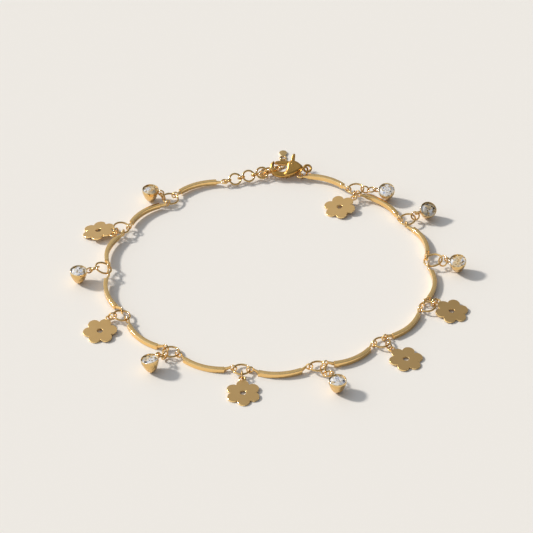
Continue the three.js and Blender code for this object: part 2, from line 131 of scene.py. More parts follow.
# %% [markdown]
# ## Gold plating on brass
# The links are brass, tumbled smooth, polished and gold plated. Plating is a metal a few
# thousandths of a millimetre thick, so it keeps every scratch beneath it. The eye sees a warm
# mirror, broken by hairline scratches from wear and a faint orange-peel from polishing, and the
# plating is paler and brighter where edges have been rubbed. Strip, wire, sheet and castings
# differ only in how far they were polished, so one function makes all their finishes.

# %% Gold plating, finish by finish
# Real hairlines and grain are finer. These are as coarse as they have to be to show.
TONE_MM, HAIRLINE_MM, WAVE_MM = 4.0, 1.6, 0.9
PEEL_DEPTH_MM, SCRATCH_DEPTH_MM = 0.02, 0.03
SCRATCH_STRETCH, SCRATCH_TURN = (4.0, 1.0, 4.0), (0.4, 0.3, 0.7)
GRAIN_RANGE = (0.3, 0.7)  # where nearly all of the noise lies
RUBBED_SMOOTHER = 0.4  # the share of its lowest roughness that an edge loses


def gold_plating(name, colours, rubbed, rough, grain_mm, scratch, peel, wave, wave_depth_mm=0.12):
    """A metal whose roughness and relief come from grain, hairline scratches and rubbed edges."""
    material, tree, place = new_material(name)
    edge = add_node(tree, "ShaderNodeAttribute", attribute_name="edge").outputs["Fac"]
    stretched = {"Vector": place, "Scale": SCRATCH_STRETCH, "Rotation": SCRATCH_TURN}
    drawn_out = add_node(tree, "ShaderNodeMapping", stretched).outputs[0]
    tone, grain, hairlines, waves = (
        add_node(tree, "ShaderNodeTexNoise", {"Scale": 1 / (size * MM), **marks}).outputs[0]
        for size, marks in (
            (TONE_MM, {"Vector": place, "Detail": 3.0}),
            (grain_mm, {"Vector": place, "Detail": 5.0, "Roughness": 0.6}),
            (HAIRLINE_MM, {"Vector": drawn_out, "Detail": 6.0}),
            (WAVE_MM, {"Vector": place, "Detail": 1.0}),
        )
    )
    colour = linear(colours[0])
    for share, over in ((tone, colours[1]), (edge, rubbed)):
        mix = {0: share, 6: colour, 7: linear(over)}
        colour = add_node(tree, "ShaderNodeMix", mix, data_type="RGBA").outputs[2]
    spread = {0: grain, 1: GRAIN_RANGE[0], 2: GRAIN_RANGE[1], 3: rough[0], 4: rough[1]}
    grained = add_node(tree, "ShaderNodeMapRange", spread).outputs[0]
    smoother = {0: edge, 1: -RUBBED_SMOOTHER * rough[0], 2: grained}
    polish = add_node(tree, "ShaderNodeMath", smoother, operation="MULTIPLY_ADD").outputs[0]
    relief = {}
    for height, strength, depth_mm in (
        (waves, wave, wave_depth_mm),
        (grain, peel, PEEL_DEPTH_MM),
        (hairlines, scratch, SCRATCH_DEPTH_MM),
    ):
        bump = {"Height": height, "Strength": strength, "Distance": depth_mm * MM, **relief}
        relief = {"Normal": add_node(tree, "ShaderNodeBump", bump).outputs[0]}
    metal = {"Base Color": colour, "Metallic": 1.0, "Roughness": polish, **relief}
    shader = add_node(tree, "ShaderNodeBsdfPrincipled", metal).outputs[0]
    add_node(tree, "ShaderNodeOutputMaterial", {"Surface": shader})
    print("finish", name)
    return material


# Stamped strip, tumbled and polished: clear reflections with a few hairlines.
POLISHED = gold_plating(
    "gold plating on brass, polished", ("#F1BE6E", "#F7CB82"), "#FFE2A8",
    rough=(0.08, 0.2), grain_mm=0.5, scratch=0.2, peel=0.15, wave=0.45,
)
# Drawn wire is brighter still. A turned cup is as bright, and its broad waves bend what it shows.
WIRE_LOOK = {"colours": ("#E4BC78", "#EFCA8C"), "rubbed": "#FFEBBE"}
WIRE_LOOK |= {"grain_mm": 0.5, "scratch": 0.2, "peel": 0.12}
BRIGHT = gold_plating("gold plating on brass wire", rough=(0.05, 0.16), wave=0.8, **WIRE_LOOK)
TURNED = gold_plating(
    "gold plating on turned brass", rough=(0.05, 0.14), wave=1.0, wave_depth_mm=0.36, **WIRE_LOOK
)
# Sheet brushed to a satin: no clear reflections, an even pale sheen.
SATIN = gold_plating(
    "gold plating on brass, brushed satin", ("#DAB376", "#E2BD80"), "#FFDD9C",
    rough=(0.34, 0.46), grain_mm=0.22, scratch=0.12, peel=0.5, wave=0.0,
)
# A casting that was only tumbled: soft reflections, and a deeper colour that is partly painted shade.
CAST_WITH_PAINTED_SHADE = gold_plating(
    "gold plating on cast brass, darkened with painted shade", ("#CF9F55", "#DBAD62"), "#EEC480",
    rough=(0.22, 0.34), grain_mm=0.45, scratch=0.08, peel=0.1, wave=0.3,
)

# %% [markdown]
# ## Cubic zirconia
# The stones are colourless cubic zirconia, cut as round brilliants and polished to a mirror. It
# bends light far more than glass (IOR about 2.15), and the back facets throw the light out again,
# so the eye sees a mosaic: most facets white or faintly blue, a few dark, some with a spark of
# gold from the cup. That mosaic is painted into the stone's colour as painted reflections and
# glints: each facet carries a random number, its painted sparkle, and the finish turns it into a tone.
# Over broad areas that colour is multiplied by a painted reflection of the cup's gold wall.

# %% Cubic zirconia
# Sizes of the facet cells and of the painted cup reflection; then where that painted reflection rises
# in the broad noise, how far, and its colour.
MOSAIC_MM, CUP_REFLECTION_MM = 1.3, 2.4
CUP_REFLECTION_RISE, MOST_CUP_REFLECTION = (0.47, 0.58), 0.85  # where in the noise warmth rises, and how far
PAINTED_CUP_REFLECTION = "#EFD08F"
# Painted reflections and glints, as base colour: a few dark facets, some gold, most blue-white or
# white.
PAINTED_REFLECTION_TONES = [(0.0, "#3A3433"), (0.06, "#A68E5E"), (0.14, "#E3CD9E"), (0.28, "#BCC8E4")]
PAINTED_REFLECTION_TONES += [(0.42, "#E6ECF6"), (0.6, "#FFFFFF")]


def zirconia():
    material, tree, place = new_material("cubic zirconia, brilliant cut")
    # Each facet's random painted sparkle, shifted cell by cell, picks a painted reflection colour.
    painted_sparkle = add_node(tree, "ShaderNodeAttribute", attribute_name="painted_sparkle").outputs["Fac"]
    cells = {"Vector": place, "Scale": 1 / (MOSAIC_MM * MM)}
    ghosts = add_node(tree, "ShaderNodeTexVoronoi", cells, feature="F1").outputs["Color"]
    total = add_node(tree, "ShaderNodeMath", {0: ghosts, 1: painted_sparkle}, operation="ADD").outputs[0]
    mosaic = add_node(tree, "ShaderNodeMath", {0: total}, operation="FRACT").outputs[0]
    painted_tone_ramp = add_node(tree, "ShaderNodeValToRGB", {"Fac": mosaic})
    ramp = painted_tone_ramp.color_ramp
    ramp.interpolation = "CONSTANT"
    ramp.elements[1].position = PAINTED_REFLECTION_TONES[-1][0]
    for element, (_, code) in zip(ramp.elements, (PAINTED_REFLECTION_TONES[0], PAINTED_REFLECTION_TONES[-1])):
        element.color = linear(code)
    for position, code in PAINTED_REFLECTION_TONES[1:-1]:
        ramp.elements.new(position).color = linear(code)
    # Broad painted reflection of the cup's gold wall, multiplied into the stone's colour.
    broad = {"Vector": place, "Scale": 1 / (CUP_REFLECTION_MM * MM), "Detail": 0.0}
    cup_reflection_patches = add_node(tree, "ShaderNodeTexNoise", broad).outputs[0]
    limits = {0: cup_reflection_patches, 1: CUP_REFLECTION_RISE[0], 2: CUP_REFLECTION_RISE[1], 3: 0.0, 4: MOST_CUP_REFLECTION}
    share = add_node(tree, "ShaderNodeMapRange", limits).outputs[0]
    mix = {0: share, 6: painted_tone_ramp.outputs[0], 7: linear(PAINTED_CUP_REFLECTION)}
    painted_cup_warmth = add_node(tree, "ShaderNodeMix", mix, data_type="RGBA", blend_type="MULTIPLY")
    gem = {"Base Color": painted_cup_warmth.outputs[2], "Roughness": 0.03, "IOR": 2.15}
    shader = add_node(tree, "ShaderNodeBsdfPrincipled", {**gem, "Transmission Weight": 0.25})
    add_node(tree, "ShaderNodeOutputMaterial", {"Surface": shader.outputs[0]})
    print("finish", material.name)
    return material


STONE = zirconia()

# %% [markdown]
# ## Reading seats off the solids
# A solid's place is in its vertices: their mean, and the directions in which they spread most and
# least, each turned to face a side that is known. A seat is a matrix that moves a piece there from
# the origin.


# %% Seat helpers
def names(kind):
    return sorted(n for n in frame["nodes"] if n.startswith(kind))


def cad_points(node):
    points = np.array([v.co for v in frame["nodes"][node].data.vertices], float)
    return np.unique(points.round(7), axis=0)


def spread_axes(points):
    """The directions of most, middle and least spread."""
    return np.linalg.svd(points - points.mean(0), full_matrices=False)[2]


def facing(direction, towards):
    """The direction, or its opposite, whichever faces that way."""
    direction = Vector(direction)
    return -direction if direction.dot(Vector(towards)) < 0 else direction


def reach(points, direction):
    along = points @ np.array(direction)
    return along.min(), along.max()


def halfway(points, direction):
    """From the origin to the middle of the points' reach, along this direction only."""
    return direction * (sum(reach(points, direction)) / 2)


def seat(origin, x, towards_y):
    """A place whose x axis runs along x, with y as near as it can be to towards_y."""
    x = Vector(x).normalized()
    z = x.cross(Vector(towards_y)).normalized()
    turn = Matrix((x, z.cross(x), z)).transposed().to_4x4()
    return Matrix.Translation(Vector(origin)) @ turn


# %% [markdown]
# ## Making, seating and showing a piece
# A finished piece keeps its place in its mesh and its object at the origin, so the pattern of its
# finish never slides. Shells are closed, and an attribute called edge marks rubbed edges. What
# modifiers or curves make is read back as a plain mesh.


# %% Mesh helpers
def finished(host):
    """The host's finished shape, as a plain mesh. The host is removed."""
    depsgraph = bpy.context.evaluated_depsgraph_get()
    mesh = bpy.data.meshes.new_from_object(host.evaluated_get(depsgraph))
    bpy.data.objects.remove(host)
    return mesh


def new_mesh(name, points, faces, edge=None):
    mesh = bpy.data.meshes.new(name)
    mesh.from_pydata([tuple(p) for p in points], [], faces)
    rubbed = mesh.attributes.new("edge", "FLOAT", "POINT")
    if edge:
        rubbed.data.foreach_set("value", edge)
    return mesh


def face_outwards(mesh, merge_mm=0.0):
    """Merges doubles, if asked, and turns a closed shell's faces outwards."""
    shell = bmesh.new()
    shell.from_mesh(mesh)
    if merge_mm:
        bmesh.ops.remove_doubles(shell, verts=shell.verts, dist=merge_mm * MM)
    bmesh.ops.recalc_face_normals(shell, faces=shell.faces)
    if shell.calc_volume(signed=True) < 0:
        bmesh.ops.reverse_faces(shell, faces=shell.faces)
    shell.to_mesh(mesh)
    shell.free()
    return mesh


def smooth(mesh, angle=32):
    """Smooth shading whose wide flats stay flat, because their normals outweigh narrow bevels."""
    mesh.shade_smooth()
    mesh.set_sharp_from_angle(angle=math.radians(angle))
    host = add_object("host", mesh)
    weigh = host.modifiers.new("weigh", "WEIGHTED_NORMAL")
    weigh.keep_sharp, weigh.weight = True, 100
    return finished(host)


def join(name, *meshes):
    whole = bmesh.new()
    whole.verts.layers.float.new("edge")
    for mesh in meshes:
        whole.from_mesh(mesh)
    joined = bpy.data.meshes.new(name)
    whole.to_mesh(joined)
    whole.free()
    return joined


def seated(mesh, place):
    copy = mesh.copy()
    copy.transform(place)
    return copy


def show(name, mesh, finish, place, slot, *nodes, body="anklet"):
    """Seats a copy of the mesh, gives it its finish and lets it ride on its body."""
    copy = seated(mesh, place)
    copy.name = name
    copy.materials.clear()
    copy.materials.append(finish)
    piece = add_object(name, copy)
    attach(piece, body)
    if nodes:
        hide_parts(*nodes)
    return piece


# %% [markdown]
# ## Geometry trees
# What is bent from wire, or repeats along a chain, is made by a small geometry tree with named
# inputs. Every ring is a length of round wire, bent on a mandrel and soldered shut, and a circle
# swept along a circle says the same thing. A tree runs once and leaves real geometry.


# %% Tree helpers
def new_tree(name, **kinds):
    """A geometry tree, and the sockets of its named inputs."""
    tree = bpy.data.node_groups.new(name, "GeometryNodeTree")
    tree.interface.new_socket(name="Geometry", in_out="INPUT", socket_type="NodeSocketGeometry")
    for socket, kind in kinds.items():
        tree.interface.new_socket(name=socket, in_out="INPUT", socket_type="NodeSocket" + kind)
    tree.interface.new_socket(name="Geometry", in_out="OUTPUT", socket_type="NodeSocketGeometry")
    return tree, add_node(tree, "NodeGroupInput").outputs


def bent_wire(tree, radius, wire, around, section):
    """Nodes that carry the wire's round section along the ring's circle."""
    path, profile = (
        add_node(tree, "GeometryNodeCurvePrimitiveCircle", {"Resolution": count, "Radius": size})
        for count, size in ((around, radius), (section, wire))
    )
    curves = {"Curve": path.outputs[0], "Profile Curve": profile.outputs[0]}
    return add_node(tree, "GeometryNodeCurveToMesh", curves).outputs[0]


def end_tree(tree, geometry, finish):
    """Ends a tree in real geometry with its material."""
    real = add_node(tree, "GeometryNodeRealizeInstances", {"Geometry": geometry}).outputs[0]
    done = add_node(tree, "GeometryNodeSetMaterial", {"Geometry": real, "Material": finish})
    add_node(tree, "NodeGroupOutput", {"Geometry": done.outputs[0]})
    return tree


def made_by(tree, points=((0, 0, 0),), edges=(), **settings):
    """Runs a geometry tree once on a few points and keeps its result as a plain mesh."""
    start = bpy.data.meshes.new("start")
    start.from_pydata([tuple(p) for p in points], list(edges), [])
    host = add_object("host", start)
    modifier = host.modifiers.new("make", "NODES")
    modifier.node_group = tree
    for item in tree.interface.items_tree:
        if item.in_out == "INPUT" and item.name in settings:
            modifier[item.identifier] = settings[item.name]
    return finished(host)


def ring_tree():
    kinds = {"Radius": "Float", "Wire": "Float", "Around": "Int", "Section": "Int"}
    tree, given = new_tree("wire ring", **kinds, Finish="Material")
    ring = bent_wire(tree, given["Radius"], given["Wire"], given["Around"], given["Section"])
    return end_tree(tree, ring, given["Finish"])


# %% [markdown]
# ## Round wire rings
# A ring's solid gives its radius and its plane: the farthest point is on the outside of the wire,
# and the points spread least along the ring's axis. Rings of one size share one mesh.

# %% Wire rings
RING_TREE = ring_tree()
rings_made = {}


def wire_ring(radius_mm, wire_mm, around=64, section=20):
    key = (round(radius_mm, 3), wire_mm, around, section)
    if key not in rings_made:
        sizes = {"Radius": key[0] * MM, "Wire": wire_mm * MM, "Around": around, "Section": section}
        mesh = made_by(RING_TREE, **sizes, Finish=BRIGHT)
        mesh.attributes.new("edge", "FLOAT", "POINT")
        mesh.shade_smooth()
        rings_made[key] = mesh
    return rings_made[key]


def show_ring(node, wire_mm, finish, slot, *fineness):
    """Stands a ring of this wire for the node's solid."""
    points = cad_points(node)
    radius = np.linalg.norm(points - points.mean(0), axis=1).max() / MM - wire_mm
    axes = spread_axes(points)
    place = seat(points.mean(0), axes[0], axes[1])
    ring = wire_ring(radius, wire_mm, *fineness)
    show(node + "_wire", ring, finish, place, slot, node)


RING_WIRE = 0.23
for node in names("junction_ring"):
    show_ring(node, RING_WIRE, BRIGHT, "polished_gold")
print("junction rings", len(names("junction_ring")))

# %% [markdown]
# ## Drop links
# Each charm hangs on a small ring of thinner wire, and three stones on two rings that are soldered
# square to each other. A single ring's solid is as thin as its wire, and a pair's isn't, so the
# solid itself says which it is. A pair's length gives its radius: two rings less the weld.

# %% Drop links
DROP_WIRE = 0.19
WELD = 0.14  # how deep two soldered wires run into each other
LONE_RING = 2.5  # wire radii: a lone ring is thinner than this, and a pair is thicker
SMALL_RING = (48, 16)  # faces round the ring and round its wire, as for every ring below


def show_pair(node, *shells):
    """Stands two soldered rings for the node's solid."""
    pair = join(node, *shells)
    pair.shade_smooth()
    show(node + "_pair", pair, BRIGHT, Matrix(), "polished_gold", node)


for node in names("drop_link"):
    points = cad_points(node)
    axes = spread_axes(points)
    low, high = reach(points, axes[2])
    if high - low < LONE_RING * DROP_WIRE * MM:
        show_ring(node, DROP_WIRE, BRIGHT, "polished_gold", *SMALL_RING)
        continue
    middle = Vector(points.mean(0))
    way = facing(axes[0], middle.xy.to_3d())
    low, high = reach(points, way)
    radius = ((high - low) / MM - WELD) / 4
    apart = (2 * radius - 2 * DROP_WIRE + WELD) * MM
    centre = middle + way * ((low + high) / 2 - middle.dot(way))
    upright = seat(centre - way * apart / 2, way, UP)
    lying = seat(centre + way * apart / 2, way, UP.cross(way).normalized())
    ring = wire_ring(radius, DROP_WIRE, *SMALL_RING)
    show_pair(node, seated(ring, upright), seated(ring, lying))
print("drop links", len(names("drop_link")))

# %% [markdown]
# ## Bar links
# A bar link is stamped from thick strip: a bowed body of square section with crisp, just broken
# edges, a shoulder at each end, and a narrow tongue that runs out into a round eye. A rounded
# rectangle carried along an arc gives the body, and the same sweep, narrowing, gives the tongue.

# %% Sweeps
BROKEN_EDGE, EYE_EDGE = 0.1, 0.12
ROUNDEST = 0.45  # the largest corner, as a share of the section's side
HALF_RUBBED = 0.35  # the edge value where a flat ends and its broken edge begins


def rounded_rectangle(width, height, corner, steps=3):
    """Points (across, up) round a rectangle whose corners are rounded, and their edge values."""
    points, edge = [], []
    for turn, (sx, sy) in enumerate(((1, 1), (-1, 1), (-1, -1), (1, -1))):
        for i in range(steps + 1):
            angle = math.pi / 2 * (turn + i / steps)
            x = sx * (width / 2 - corner) + corner * math.cos(angle)
            y = sy * (height / 2 - corner) + corner * math.sin(angle)
            points.append((x, y))
            edge.append(1.0 if 0 < i < steps else HALF_RUBBED)
    return points, edge


def sweep(name, sections, corner, closed=False):
    """Skins rounded rectangles: each is (centre, across, up, width, height), in millimetres."""
    points, edges, faces = [], [], []
    for centre, across, up, width, height in sections:
        rounding = min(corner, width * ROUNDEST, height * ROUNDEST)
        ring, edge = rounded_rectangle(width, height, rounding)
        points += [(Vector(centre) + Vector(across) * x + Vector(up) * y) * MM for x, y in ring]
        edges += edge
    size, count = len(ring), len(sections)
    for i in range(count if closed else count - 1):
        a, b = i * size, (i + 1) % count * size
        faces += [(a + k, a + (k + 1) % size, b + (k + 1) % size, b + k) for k in range(size)]
    if not closed:
        faces += [tuple(range(size))[::-1], tuple(range((count - 1) * size, count * size))]
    return face_outwards(new_mesh(name, points, faces, edges))


# %% [markdown]
# ## Body, tongues and eyes
# The eyes stand upright, square to the loop, so that a ring lying flat passes through them. Only
# the eyes at the two ends of the run lie flat, for the clasp's ring and the extender.

# %% The bar link
BAR = {"reach": 13.1, "bow": 1.9, "width": 1.0, "height": 1.15, "tongue": 1.75}
BODY_ENDS = [(-1, 0.82), (-0.985, 1.0)]  # where along the body, and the section's scale there
BODY_ALONG = np.linspace(-0.96, 0.96, 29)
TONGUE = {"width": 0.42, "height": 0.7, "root_width": 0.74, "root_height": 0.8, "sunk": 0.2}
TONGUE_EASE, TONGUE_BOW = 1.7, 0.12
EYE = {"radius": 0.88, "hole": 0.59, "thick": 0.42}
HALF_BAR = BAR["reach"] / 2
SHOULDER = HALF_BAR - BAR["tongue"]
BOW_RADIUS = (HALF_BAR**2 + BAR["bow"] ** 2) / (2 * BAR["bow"])
BOW_HUB = BAR["bow"] - BOW_RADIUS
BOW_TURN = math.asin(SHOULDER / BOW_RADIUS)
BODY_HEIGHT = BAR["height"] / 2 - EYE["radius"]  # of the body's middle, from the eyes' middle
EYE_MIDDLE = (EYE["radius"] + EYE["hole"]) / 2


def circle(radius, count, x=0.0, y=0.0, turn=0.0):
    angles = np.linspace(0, 2 * math.pi, count, endpoint=False) + turn
    return [(x + radius * math.cos(a), y + radius * math.sin(a)) for a in angles]


def bar_body():
    stations = BODY_ENDS + [(t, 1.0) for t in BODY_ALONG]
    stations += [(-t, scale) for t, scale in BODY_ENDS[::-1]]
    sections = []
    for t, scale in stations:
        out = Vector((math.sin(BOW_TURN * t), math.cos(BOW_TURN * t), 0))
        centre = (0, BOW_HUB, BODY_HEIGHT) + np.array(out) * BOW_RADIUS
        sections.append((centre, out, UP, BAR["width"] * scale, BAR["height"] * scale))
    return sweep("body", sections, BROKEN_EDGE)


def bar_tongue(side, flat):
    """From inside the shoulder to the eye, and narrowing fast at first."""
    shoulder_y = BOW_HUB + BOW_RADIUS * math.cos(BOW_TURN)
    tall = EYE["thick"] if flat else TONGUE["height"]
    sections = []
    for t in np.linspace(0, 1, 9):
        ease = 1 - (1 - t) ** TONGUE_EASE
        width = BAR["width"] * TONGUE["root_width"] * (1 - ease) + TONGUE["width"] * ease
        height = BAR["height"] * TONGUE["root_height"] * (1 - ease) + tall * ease
        x = (SHOULDER - TONGUE["sunk"]) * (1 - t) + (HALF_BAR - EYE_MIDDLE) * t
        y = shoulder_y * (1 - t) * (1 + TONGUE_BOW * t)
        sections.append(((side * x, y, BODY_HEIGHT * (1 - t)), (0, 1, 0), UP, width, height))
    return sweep("tongue", sections, BROKEN_EDGE)


def bar_eye(side, flat):
    sections = []
    for level, raised in circle(1, 40):
        out = Vector((level, raised, 0) if flat else (level, 0, raised))
        up = UP if flat else (0, 1, 0)
        centre = Vector((side * HALF_BAR, 0, 0)) + out * EYE_MIDDLE
        sections.append((centre, out, up, EYE["radius"] - EYE["hole"], EYE["thick"]))
    return sweep("eye", sections, EYE_EDGE, closed=True)


def bar_link(flat_sides=()):
    """A bar along x that bows out to +y, its eyes at either side flat or upright."""
    shells = [bar_body()]
    for side in (1, -1):
        shells += [bar_tongue(side, side in flat_sides), bar_eye(side, side in flat_sides)]
    return smooth(join("bar", *shells))


def bar_seat(node, flat):
    """The eyes lie at the solid's inner side, so its inner reach gives their middle."""
    points = cad_points(node)
    along = Vector(spread_axes(points)[0])
    out = facing(UP.cross(along).normalized(), Vector(points.mean(0)).xy.to_3d())
    along = facing(along, out.cross(UP))
    up = along.cross(out)
    inner = reach(points, out)[0] + (EYE["radius"] if flat else EYE["thick"] / 2) * MM
    return seat(halfway(points, along) + out * inner + halfway(points, up), along, out)


plain_bar = bar_link()
bar_nodes = names("bar_link")
for node in bar_nodes:
    flat = {bar_nodes[0]: (1,), bar_nodes[-1]: (-1,)}.get(node, ())
    mesh = bar_link(flat) if flat else plain_bar
    show(node + "_stamped", mesh, POLISHED, bar_seat(node, flat), "polished_gold", node)
print("bar links", len(bar_nodes), "faces each", len(plain_bar.polygons))

# %% [markdown]
# ## Flat plates with broken edges
# Flowers and the clasp's parts are plates whose outline is everything. Blender's flat curves fill
# an outline with its holes, thicken it and round its edges in one go. The result is made a mesh
# without doubles, and its rounded rim is marked as edge.

# %% Bevelled plates
DOUBLES_MM = 0.002
ON_THE_FLAT = 0.02  # of the bevel: a point that is deeper than this belongs to the rim


def bevelled_plate(name, outlines, thick, bevel, steps=3):
    curve = bpy.data.curves.new(name, "CURVE")
    curve.dimensions, curve.fill_mode = "2D", "BOTH"
    curve.extrude, curve.bevel_depth = (thick / 2 - bevel) * MM, bevel * MM
    curve.bevel_resolution, curve.offset = steps, -bevel * MM
    for outline in outlines:
        spline = curve.splines.new("POLY")
        spline.points.add(len(outline) - 1)
        for point, (x, y) in zip(spline.points, outline):
            point.co = (x * MM, y * MM, 0, 1)
        spline.use_cyclic_u = True
    mesh = face_outwards(finished(add_object(name, curve)), DOUBLES_MM)
    face_height = (thick / 2 - ON_THE_FLAT * bevel) * MM
    rim = [1.0 if abs(v.co.z) < face_height else 0.0 for v in mesh.vertices]
    mesh.attributes.new("edge", "FLOAT", "POINT").data.foreach_set("value", rim)
    return mesh


# %% [markdown]
# ## Flower charms
# Each flower is cut from sheet: six round petals whose arcs meet in narrow notches, a small hole
# in the middle and an eyelet beyond one petal. It lies nearly flat, its eyelet raised by its drop
# link, so its seat's x runs straight downhill.

# %% Flower charms
FLOWER = {"petal_at": 2.45, "petal": 1.4, "thick": 0.36, "hole": 0.66, "eyelet_at": 4.4}
FLOWER_EYELET = {"radius": 0.85, "hole": 0.5, "thick": 0.32}
SHEET_EDGE, EYELET_EDGE = 0.07, 0.1
FLAT_FACES = 10  # degrees: less than the first turn of a broken edge, so the face stays flat


def flower_outline(petals=6, arc_points=26):
    """Round the petals, from the notch before each to the notch after it."""
    step = 2 * math.pi / petals
    at, radius = FLOWER["petal_at"], FLOWER["petal"]
    valley = at * math.cos(step / 2) + math.sqrt(radius**2 - (at * math.sin(step / 2)) ** 2)
    opening = math.atan2(valley * math.sin(step / 2), valley * math.cos(step / 2) - at)
    outline = []
    for i in range(petals):
        cos, sin = math.cos(i * step), math.sin(i * step)
        for a in np.linspace(-opening, opening, arc_points)[:-1]:
            x, y = at + radius * math.cos(a), radius * math.sin(a)
            outline.append((x * cos - y * sin, x * sin + y * cos))
    return outline


def flower_charm():
    """A flower that hangs along x from an eyelet at the origin."""
    petals = [(x + FLOWER["eyelet_at"], y) for x, y in flower_outline()]
    hole = circle(FLOWER["hole"], 48, FLOWER["eyelet_at"])
    sheet = bevelled_plate("petals", [petals, hole], FLOWER["thick"], SHEET_EDGE)
    rings = [circle(FLOWER_EYELET["radius"], 48), circle(FLOWER_EYELET["hole"], 40)]
    eyelet = bevelled_plate("eyelet", rings, FLOWER_EYELET["thick"], EYELET_EDGE)
    return smooth(join("flower", sheet, eyelet), FLAT_FACES)


def flower_seat(node):
    points = cad_points(node)
    normal = facing(spread_axes(points)[2], UP)
    downhill = (normal * normal.z - UP).normalized()
    side = normal.cross(downhill)
    start = reach(points, downhill)[0] + FLOWER_EYELET["radius"] * MM
    middle = halfway(points, side) + halfway(points, normal)
    return seat(middle + downhill * start, downhill, side)


flower = flower_charm()
for node in names("flower_charm"):
    show(node + "_sheet", flower, SATIN, flower_seat(node), "flower_gold", node)
print("flowers", len(names("flower_charm")), "faces each", len(flower.polygons))

# %% [markdown]
# ## Cone-set stones
# The setting is a cone turned from rod, with a thin rim rolled over the stone's girdle and an
# eyelet of wire soldered to its side. A profile spun round the axis gives the cup, open inside, so
# that light goes through the stone and comes back gold from the wall.

# %% The setting
SETTING = {"rim": 1.98, "wall": 0.14, "depth": 3.55, "tip": 0.35, "bowl": 2.8, "fullness": 0.38}
BOWL_STATIONS = (0.12, 0.24, 0.42, 0.65, 0.95, 1.3, 1.7, 2.1, 2.5, SETTING["bowl"], 3.1)
EYELET = {"radius": 0.7, "wire": 0.18, "height": 2.75, "sink": 0.1}


def spun(name, profile, steps=72):
    """A closed shell. The profile's points (radius, height, edge) run from pole to pole."""
    points, edge = [(0, 0, profile[0][1])], [0.0]
    for radius, height, rubbed in profile[1:-1]:
        points += [(x, y, height) for x, y in circle(radius, steps)]
        edge += [rubbed] * steps
    points.append((0, 0, profile[-1][1]))
    edge.append(0.0)
    rows, last, faces = len(profile) - 2, len(points) - 1, []
    for k in range(steps):
        n = (k + 1) % steps
        faces.append((0, 1 + n, 1 + k))
        for row in range(rows - 1):
            a, b = 1 + row * steps, 1 + (row + 1) * steps
            faces.append((a + k, a + n, b + n, b + k))
        top = 1 + (rows - 1) * steps
        faces.append((last, top + k, top + n))
    return new_mesh(name, [Vector(p) * MM for p in points], faces, edge)


def setting_radius(height):
    """The cup's outside at a height over its tip: full and round below, straight above."""
    share = min(1.0, height / SETTING["bowl"])
    return max(SETTING["tip"], SETTING["rim"] * share ** SETTING["fullness"])


def cup_profile():
    """From the tip up the outside, over the rolled rim and down the inside."""
    depth, rim, bore = SETTING["depth"], SETTING["rim"], SETTING["rim"] - SETTING["wall"]
    tip = [(0.0, -depth, 0.0), (0.28, -depth + 0.005, 0.0), (0.43, -depth + 0.04, 0.3)]
    bowl = [(setting_radius(h), h - depth, 0.0) for h in BOWL_STATIONS]
    rolled = [(rim, -0.09, 0.3), (rim - 0.015, -0.035, 1.0), (rim - 0.06, 0.0, 1.0)]
    rolled += [(bore + 0.04, 0.0, 1.0), (bore, -0.05, 0.6)]
    inside = [(bore - 0.02, -0.5, 0.0), (bore - 0.1, -0.75, 0.0), (bore * 0.86, -1.5, 0.0)]
    inside += [(bore * 0.66, -2.2, 0.0), (0.5, -2.85, 0.0), (0.0, -2.95, 0.0)]
    return tip + bowl + rolled + inside


def setting_mesh():
    """The cup with its rim at the origin's height, and its eyelet upright on its -x side."""
    out = setting_radius(EYELET["height"]) + EYELET["radius"] - EYELET["sink"]
    side = Matrix.Translation(Vector((-out, 0, EYELET["height"] - SETTING["depth"])) * MM)
    ring = wire_ring(EYELET["radius"], EYELET["wire"], *SMALL_RING)
    eyelet = seated(ring, side @ Matrix.Rotation(math.pi / 2, 4, "X"))
    return smooth(join("setting", spun("cup", cup_profile()), eyelet), angle=40)


# %% [markdown]
# ## The brilliant cut
# A round brilliant has a flat table, a crown that slopes to the girdle and a pointed pavilion
# below. Through the table the eye sees the pavilion's facets, so the table is divided as they
# divide it, and each piece gets a painted sparkle of its own: a random number that picks its
# painted reflection colour. The order of the faces fixes those numbers.

# %% The stone
GEM = {"girdle": 1.82, "table": 1.04, "crown": 0.3, "pavilion": 1.6, "edge": 0.06, "sunk": 0.02}
HEART, MIDDLE = 0.34, 0.66  # rows inside the table, as shares of its radius
LOW = 0.24  # the pavilion's lower row, as a share of the girdle's radius
PAINTED_SPARKLE_SEED = 4


